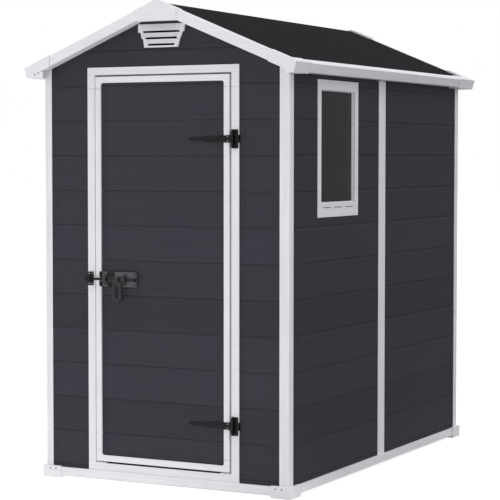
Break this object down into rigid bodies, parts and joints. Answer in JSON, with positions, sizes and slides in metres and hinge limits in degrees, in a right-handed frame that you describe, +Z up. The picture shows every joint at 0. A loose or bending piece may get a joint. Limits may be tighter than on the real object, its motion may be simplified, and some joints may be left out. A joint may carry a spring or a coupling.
{
  "type": "garden shed",
  "caption": "Small hollow resin shed with plank-look panels between white posts, a pitched roof with white edge mouldings, a side window, gable vents and a hinged door with a sliding bolt.",
  "frame": {"origin": "centre of the footprint, on the ground under the floor", "axes": "+Z up, the door faces -Y, the window is on the +X side"},
  "size_m": [1.245, 1.946, 1.9544],
  "materials": {
    "trim_white": "smooth moulded resin, satin",
    "plank_grey": "wood-grain moulded resin, matt",
    "roof_charcoal": "fine-grained moulded resin, matt",
    "floor_grey": "moulded resin, matt",
    "fitting_black": "black powder coat, satin",
    "beam_steel": "galvanised",
    "pane_clear": "clear, smooth"
  },
  "bodies": {
    "shed": {"floor": "floor_grey", "base_rail_front": "trim_white", "base_rail_back": "trim_white", "base_rail_left": "trim_white", "base_rail_right": "trim_white", "base_feet": "trim_white", "corner_post_front_left": "trim_white", "corner_post_front_right": "trim_white", "corner_post_back_left": "trim_white", "corner_post_back_right": "trim_white", "mid_posts": "trim_white", "front_wall_left": "plank_grey", "front_wall_right": "plank_grey", "front_gable": "plank_grey", "back_wall": "plank_grey", "back_gable": "plank_grey", "left_wall_front": "plank_grey", "left_wall_back": "plank_grey", "right_wall_front": "plank_grey", "right_wall_back": "plank_grey", "window_frame": "trim_white", "window_pane": "pane_clear", "door_head": "trim_white", "door_jambs": "trim_white", "door_sill": "trim_white", "roof_panel_left": "roof_charcoal", "roof_panel_right": "roof_charcoal", "ridge_beam": "beam_steel", "front_barge_boards": "trim_white", "back_barge_boards": "trim_white", "gable_peak_covers": "trim_white", "eave_fascia_left": "trim_white", "eave_fascia_right": "trim_white", "eave_corner_caps": "trim_white", "gable_vents": "trim_white", "hinge_plates": "fitting_black", "latch_keeper": "fitting_black"},
    "door": {"door_panel": "plank_grey", "door_stiles": "trim_white", "door_rails": "trim_white", "hinge_straps": "fitting_black", "latch_plate": "fitting_black", "latch_guides": "fitting_black"},
    "bolt": {"latch_bolt": "fitting_black"},
    "handle": {"latch_handle": "fitting_black"}
  },
  "joints": [
    {"name": "door_swing", "type": "hinge", "parent": "shed", "child": "door", "pos_m": [0.3205, -0.9245, 0.8], "axis": [0, 0, 1], "range_deg": [0, 135]},
    {"name": "bolt_slide", "type": "slide", "parent": "door", "child": "bolt", "axis": [-1, 0, 0], "range_m": [0, 0.024]},
    {"name": "handle_lift", "type": "hinge", "parent": "bolt", "child": "handle", "pos_m": [-0.2055, -0.9315, 0.835], "axis": [-1, 0, 0], "range_deg": [0, 90]}
  ]
}
